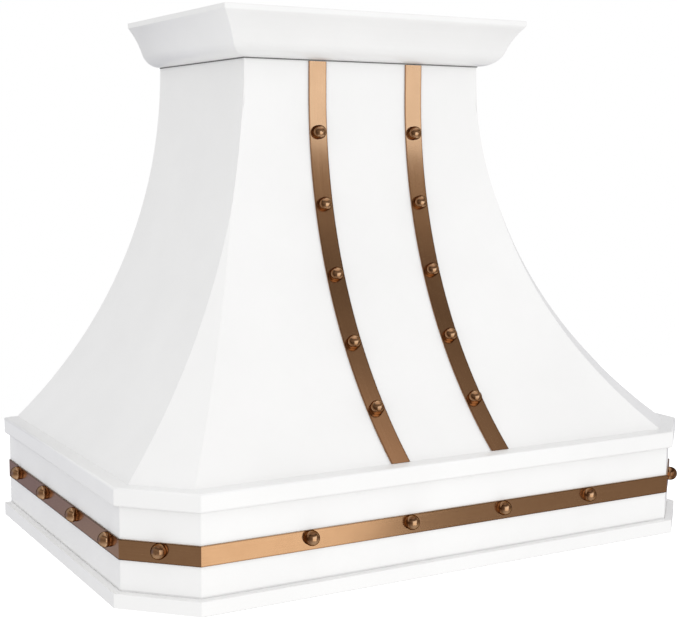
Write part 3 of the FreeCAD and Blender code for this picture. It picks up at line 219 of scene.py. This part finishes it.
def copper(name, grain, edge, shine=(0.14, 0.20), rim=colour(1, 0.93, 0.84)):
    """Brushed copper.

    grain stretches the brush marks; edge gives the darker edges of straps and band, or the painted shade
    round rivet heads; shine is the range of the roughness and rim the colour of glancing reflections."""
    material, tree, shader = new_material(name, Metallic=1, Specular_Tint=rim)
    brush = noise(tree, position(tree, grain), 1, 4, 0.7)
    stain = noise(tree, position(tree), 38, 5, 0.65)
    tint = ramp(tree, brush, [
        (0.3, colour(0.77, 0.49, 0.295)),
        (0.5, colour(0.81, 0.525, 0.32)),
        (0.7, colour(0.85, 0.56, 0.35)),
    ])
    tint = multiply(tree, tint, ramp(tree, stain, [(0.3, colour(0.95, 0.94, 0.93)), (0.6, WHITE)]))
    # darker edges of straps and band, or painted shade round rivet heads
    amount, dark = edge(tree)
    tint = multiply(tree, tint, ramp(tree, amount, [(0, WHITE), (1, dark)]))
    coat(tree, shader, tint, between(tree, brush, *shine), brush, 0.00001, 0.3)
    return material


def rivet_copper(name, foot):
    return copper(name, EVEN, foot, shine=(0.13, 0.18), rim=BLACK)


def dark_edge_line(tree, distance, half):
    """How dark the line is along an edge that lies half a width from the middle."""
    return between(tree, distance, 0, 1, half - EDGE_LINE_START, half - EDGE_LINE_FULL)


def strap_edge(tree):
    """Dark along both edges of the nearer strap."""
    side = math_node(tree, "ABSOLUTE", xyz(tree)[0])
    line = dark_edge_line(tree, distance_from(tree, side, STRAP_SPACING / 2), STRAP_HALF)
    return line, colour(0.45, 0.38, 0.34)


def band_edge(tree):
    """Dark along the top and bottom edges of the band, more so at its sides."""
    x, _, z = xyz(tree)
    line = dark_edge_line(tree, distance_from(tree, z, BAND_MIDDLE), BAND_HALF)
    side = math_node(tree, "ABSOLUTE", x)
    share = between(tree, side, FRONT_EDGE_SHARE, 1, SIDE_EDGE_START, SIDE_EDGE_FULL)
    return math_node(tree, "MULTIPLY", line, share), colour(0.16, 0.13, 0.12)


def painted_shade_head(tree, height):
    """Painted shade round the head of a rivet, in place of its dark reflections and contact shadow: less at
    its foot and none at its crown.
    """
    foot = between(tree, height, HEAD_FOOT_SHARE, 1, *HEAD_DARKENS)
    crown = between(tree, height, 1, 0, *HEAD_CLEARS)
    return math_node(tree, "MULTIPLY", foot, crown), colour(0.26, 0.19, 0.14)


def strap_rivet_painted_shade(tree):
    """Painted shade on the strap rivets, by the height above the arc of the straps."""
    _, y, z = xyz(tree)
    across = math_node(tree, "SUBTRACT", y, ARC_Y)
    up = math_node(tree, "SUBTRACT", z, ARC_Z)
    squares = [math_node(tree, "MULTIPLY", part, part) for part in (across, up)]
    reach = math_node(tree, "SQRT", math_node(tree, "ADD", *squares))
    return painted_shade_head(tree, math_node(tree, "SUBTRACT", ARC_RADIUS, reach))


def band_rivet_painted_shade(tree):
    """Painted shade on the band rivets, by the height above the nearest face of the band; on its sides it
    lies only at the foot, as the shaded side of the head.
    """
    x, y, _ = xyz(tree)
    side = math_node(tree, "ABSOLUTE", x)
    corner = math_node(tree, "MULTIPLY", math_node(tree, "SUBTRACT", side, y), math.sqrt(0.5))
    height = math_node(tree, "SUBTRACT", side, BAND_SIDE)
    height = math_node(tree, "MAXIMUM", height, math_node(tree, "SUBTRACT", -BAND_FRONT, y))
    height = math_node(tree, "MAXIMUM", height, math_node(tree, "SUBTRACT", corner, BAND_CORNER))
    head, dark = painted_shade_head(tree, height)
    flank = between(tree, height, 1, 0, *FLANK_CLEARS)
    on_front = between(tree, side, 1, 0, BAND_SIDE, BAND_SIDE + FLANK_BLEND)
    on_flank = math_node(tree, "SUBTRACT", 1, on_front)
    head = math_node(tree, "MULTIPLY", head, on_front)
    return math_node(tree, "ADD", head, math_node(tree, "MULTIPLY", flank, on_flank)), dark


def steel(name, grain, tone=0.60):
    """Stainless sheet with long brush marks and faint smears."""
    material, tree, shader = new_material(name, Metallic=1)
    brush = noise(tree, position(tree, grain), 1, 4, 0.7)
    smear = noise(tree, position(tree), 9, 4)
    tint = ramp(tree, brush, [
        (0.3, colour(tone * 0.90, tone * 0.89, tone * 0.88)),
        (0.7, colour(tone * 1.08, tone * 1.08, tone * 1.07)),
    ])
    tint = multiply(tree, tint, ramp(tree, smear, [(0.35, colour(0.93, 0.93, 0.94)), (0.65, WHITE)]))
    coat(tree, shader, tint, between(tree, brush, 0.26, 0.40), brush, 0.00003, 0.5)
    return material


def zinc():
    """Galvanised sheet with its crystal spangle."""
    material, tree, shader = new_material("zinc", Metallic=0.9)
    where = position(tree)
    spangle = add(tree, "TexVoronoi", {"Vector": where, "Scale": 90}, feature="F1")
    grey = add(tree, "RGBToBW", {"Color": spangle.outputs["Color"]}).outputs["Val"]
    tint = ramp(tree, grey, [(0.1, colour(0.43, 0.45, 0.47)), (0.9, colour(0.66, 0.67, 0.69))])
    roughness = between(tree, grey, 0.36, 0.52, 0, 1)
    coat(tree, shader, tint, roughness, noise(tree, where, 300, 2), 0.00003, 0.4)
    return material


def enamel():
    """Black stoved enamel of the motor can."""
    material, tree, shader = new_material("motor_enamel", IOR=1.5)
    where = position(tree)
    tint = ramp(tree, noise(tree, where, 60), [
        (0.3, colour(0.016, 0.016, 0.017)),
        (0.7, colour(0.032, 0.032, 0.034)),
    ])
    roughness = between(tree, noise(tree, where, 180), 0.34, 0.5)
    coat(tree, shader, tint, roughness, noise(tree, where, 900, 2), 0.00005, 0.5)
    return material


def plastic(name, dark, light):
    """Moulded plastic with a fine spark-eroded grain."""
    material, tree, shader = new_material(name, IOR=1.46)
    where = position(tree)
    tint = ramp(tree, noise(tree, where, 45), [(0.3, dark), (0.7, light)])
    roughness = between(tree, noise(tree, where, 400), 0.45, 0.6)
    coat(tree, shader, tint, roughness, noise(tree, where, 2200, 2), 0.00006, 0.6)
    return material


def frosted():
    """Lamp lens: milky glass with a stippled face."""
    material, tree, shader = new_material("frosted_lens", IOR=1.49, Transmission_Weight=0.35)
    where = position(tree)
    tint = ramp(tree, noise(tree, where, 120), [
        (0.3, colour(0.82, 0.83, 0.83)),
        (0.7, colour(0.92, 0.92, 0.91)),
    ])
    roughness = between(tree, noise(tree, where, 500), 0.35, 0.5)
    stipple = add(tree, "TexVoronoi", {"Vector": where, "Scale": 650}, feature="SMOOTH_F1")
    coat(tree, shader, tint, roughness, stipple.outputs["Distance"], 0.0002, 0.5)
    return material


def dress():
    """Give each node its own material or that of its slot, with the brush marks as the piece was finished."""
    slots = {
        "white_shell": white_coat("white_coat"),
        "steel": steel("steel_sheet", ACROSS_Y),
        "zinc": zinc(),
        "motor": enamel(),
        "plastic": plastic("black_plastic", colour(0.018, 0.018, 0.019), colour(0.035, 0.035, 0.036)),
        "glass": frosted(),
    }
    strap = copper("copper_strap", ACROSS_X, strap_edge)
    # strap rivets: copper with painted shade round their heads
    stud = rivet_copper("copper_stud", strap_rivet_painted_shade)
    baffle = steel("steel_baffle", ACROSS_X, 0.64)
    bright = steel("steel_bright", EVEN, 0.68)
    # heights of the painted shade lines on the apron, just above the trim and just below the rim
    trim_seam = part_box("bottom_trim")[1].z + SEAM_OFFSET
    rim_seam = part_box("ledge_rim")[0].z - SEAM_OFFSET
    own = {
        "apron": white_coat("white_apron", (trim_seam, rim_seam)),
        "left_strap": strap,
        "right_strap": strap,
        "left_strap_rivets": stud,
        "right_strap_rivets": stud,
        "apron_band": copper("copper_band", ACROSS_Z, band_edge),
        # band rivets: copper with painted shade round their heads and on their shaded flank
        "band_rivets": rivet_copper("copper_rivet", band_rivet_painted_shade),
        # dark grey seal, partly its own colour and partly a painted shadow line under the crown
        "crown_seal": plastic("grey_seal_painted_shadow", colour(0.13, 0.13, 0.13), colour(0.17, 0.17, 0.17)),
        "left_filter_baffles": baffle,
        "right_filter_baffles": baffle,
        "switch_board": plastic("board", colour(0.03, 0.09, 0.05), colour(0.05, 0.13, 0.07)),
    }
    for name in nodes:
        if name.startswith("button_") or name.endswith(("_handle", "_screws", "_rod", "_shaft")):
            own[name] = bright
    for name, piece in nodes.items():
        for place in piece.material_slots:
            place.material = own.get(name) or slots[place.material.name.split(".")[0]]


def soften():
    """Round the folded edges of the trims a little, so that they catch the light."""
    for name in SOFT_EDGES:
        weld = nodes[name].modifiers.new("weld", "WELD")
        weld.merge_threshold = WELD_DISTANCE
        bevel = nodes[name].modifiers.new("soft_edge", "BEVEL")
        bevel.width = SOFT_WIDTH
        bevel.segments = SOFT_SEGMENTS
        bevel.limit_method = "ANGLE"
        bevel.angle_limit = SOFT_ANGLE
        bevel.harden_normals = True


# Stage: floor, sky, lamp, a tent for the metal to mirror, and camera

def new_object(name, data):
    thing = bpy.data.objects.new(name, data)
    bpy.context.scene.collection.objects.link(thing)
    return thing


def seen_directly(tree):
    """One for the rays that show the background: camera, glossy and transmission rays."""
    path = add(tree, "LightPath")
    first = math_node(tree, "MAXIMUM", path.outputs["Is Camera Ray"], path.outputs["Is Glossy Ray"])
    return math_node(tree, "MAXIMUM", first, path.outputs["Is Transmission Ray"])


def floor_material():
    """Pale floor that glows a little where it is seen, so that it comes out white."""
    material, tree = blank_material("floor")
    matt = add(tree, "BsdfDiffuse", {"Color": colour(0.86, 0.86, 0.86)}).outputs["BSDF"]
    lift = add(tree, "Emission", {"Color": WHITE, "Strength": 0.45}).outputs["Emission"]
    both = add(tree, "AddShader")
    put(tree, both.inputs[0], matt)
    put(tree, both.inputs[1], lift)
    mix = add(tree, "MixShader", {"Fac": seen_directly(tree)})
    put(tree, mix.inputs[1], matt)
    put(tree, mix.inputs[2], both.outputs["Shader"])
    show(tree, mix.outputs["Shader"])
    return material


def floor():
    """A wide floor, far enough down for views from underneath."""
    half = FLOOR_SIZE / 2
    corners = [(-half, -half, 0), (half, -half, 0), (half, half, 0), (-half, half, 0)]
    mesh = bpy.data.meshes.new("floor")
    mesh.from_pydata(corners, [], [(0, 1, 2, 3)])
    mesh.materials.append(floor_material())
    card = new_object("floor", mesh)
    card.location.z = FLOOR_HEIGHT


def glow_material(name, paint):
    """A glowing cloth, with the colour that paint makes in its node tree."""
    material, tree = blank_material(name)
    show(tree, add(tree, "Emission", {"Color": paint(tree), "Strength": 1}).outputs["Emission"])
    return material


def veil_colour(tree):
    return colour(0.96, 0.87, 0.76)


def tent_colour(tree):
    """Dark and warm, paler overhead and underneath, and cooler behind."""
    _, y, z = xyz(tree, (1 / TENT_RADIUS,) * 3)
    height = between(tree, z, 0, 1, -1, 1)
    warm = ramp(tree, height, [
        (0.05, colour(0.55, 0.53, 0.51)),
        (0.22, colour(0.34, 0.29, 0.25)),
        (0.36, colour(0.18, 0.142, 0.112)),
        (0.55, colour(0.18, 0.142, 0.112)),
        (0.69, colour(0.30, 0.24, 0.19)),
        (0.75, colour(0.165, 0.13, 0.104)),
        (0.80, colour(0.12, 0.095, 0.075)),
        (0.87, colour(0.21, 0.17, 0.14)),
        (0.92, colour(0.46, 0.37, 0.31)),
        (1.00, colour(0.65, 0.56, 0.50)),
    ])
    cool = ramp(tree, height, [
        (0.20, colour(0.44, 0.43, 0.42)),
        (0.32, colour(0.225, 0.225, 0.32)),
        (0.46, colour(0.225, 0.225, 0.32)),
        (0.60, colour(0.31, 0.305, 0.30)),
    ])
    behind = between(tree, y, 0, 1, -0.05, 0.35)
    return mix_colours(tree, behind, warm, cool)


def tent(left, right, low, high, lean, veil):
    """A dark tent that only shiny surfaces see, with one window through which they mirror the white room.

    Angles in degrees, from the front to the right and upward; lean moves the right edge out with height, and
    a warm veil hangs in the window below the angle veil."""
    points, faces, cloths = [], [], []
    turns, rises = range(-180, 180, TENT_STEP), range(-90, 90, TENT_STEP)
    for rise in [*rises, 90]:
        for turn in turns:
            a, b = math.radians(turn), math.radians(rise)
            out = Vector((math.sin(a) * math.cos(b), -math.cos(a) * math.cos(b), math.sin(b)))
            points.append(out * TENT_RADIUS)
    count = len(turns)
    for row, rise in enumerate(rises):
        for column, turn in enumerate(turns):
            window = left <= turn < right + lean * rise and low <= rise < high
            if not window or rise < veil:
                after = (column + 1) % count
                ring, next_ring = row * count, (row + 1) * count
                faces.append((ring + column, ring + after, next_ring + after, next_ring + column))
                cloths.append(1 if window else 0)
    mesh = bpy.data.meshes.new("tent")
    mesh.from_pydata(points, [], faces)
    mesh.materials.append(glow_material("tent", tent_colour))
    mesh.materials.append(glow_material("veil", veil_colour))
    mesh.polygons.foreach_set("material_index", cloths)
    cloth = new_object("tent", mesh)
    cloth.location = (cad_box[0] + cad_box[1]) / 2
    cloth.visible_camera = False
    cloth.visible_diffuse = False
    cloth.visible_shadow = False
    cloth.visible_transmission = False


def lamp(name, place, towards, size, watts):
    """A square lamp that shiny surfaces don't mirror."""
    light = bpy.data.lights.new(name, "AREA")
    light.shape = "SQUARE"
    light.size = size
    light.energy = watts
    thing = new_object(name, light)
    facing = (Vector(towards) - Vector(place)).to_track_quat("-Z", "Y")
    thing.matrix_world = Matrix.Translation(place) @ facing.to_matrix().to_4x4()
    thing.visible_glossy = False


def sky(strength):
    """White where it is seen, with a strength of its own as light on the object."""
    world = bpy.data.worlds.new("studio")
    bpy.context.scene.world = world
    world.use_nodes = True
    tree = world.node_tree
    tree.nodes.clear()
    shown = between(tree, seen_directly(tree), strength, 1, 0, 1)
    back = add(tree, "Background", {"Color": WHITE, "Strength": shown})
    put(tree, add(tree, "OutputWorld").inputs["Surface"], back.outputs["Background"])


def camera():
    """The photograph's view: place, turn, downward pitch, roll and focal length in pixels."""
    place = Vector((-0.9973, -1.9962, 0.5615))
    turn, pitch, roll, focal = 0.515, 0.1203, 0.005, 1332.16
    forward = Vector((math.sin(turn) * math.cos(pitch), math.cos(turn) * math.cos(pitch), -math.sin(pitch)))
    right = Vector((math.cos(turn), -math.sin(turn), 0))
    up = right.cross(forward)
    across = math.cos(roll) * right + math.sin(roll) * up
    upright = math.cos(roll) * up - math.sin(roll) * right
    data = bpy.data.cameras.new("camera")
    data.sensor_width = SENSOR_WIDTH
    data.lens = focal * SENSOR_WIDTH / IMAGE_WIDTH
    thing = new_object("camera", data)
    turned = Matrix((across, upright, -forward)).transposed().to_4x4()
    thing.matrix_world = Matrix.Translation(place) @ turned
    bpy.context.scene.camera = thing


def studio():
    floor()
    sky(strength=1.03)
    lamp("key", place=(0.3, -3.3, 0.1), towards=(cad_box[0] + cad_box[1]) / 2, size=2.2, watts=14)
    tent(left=-22, right=35, low=-34, high=17, lean=0.5, veil=-6)
    camera()


dress()
soften()
studio()
bpy.context.scene.view_settings.view_transform = "Standard"
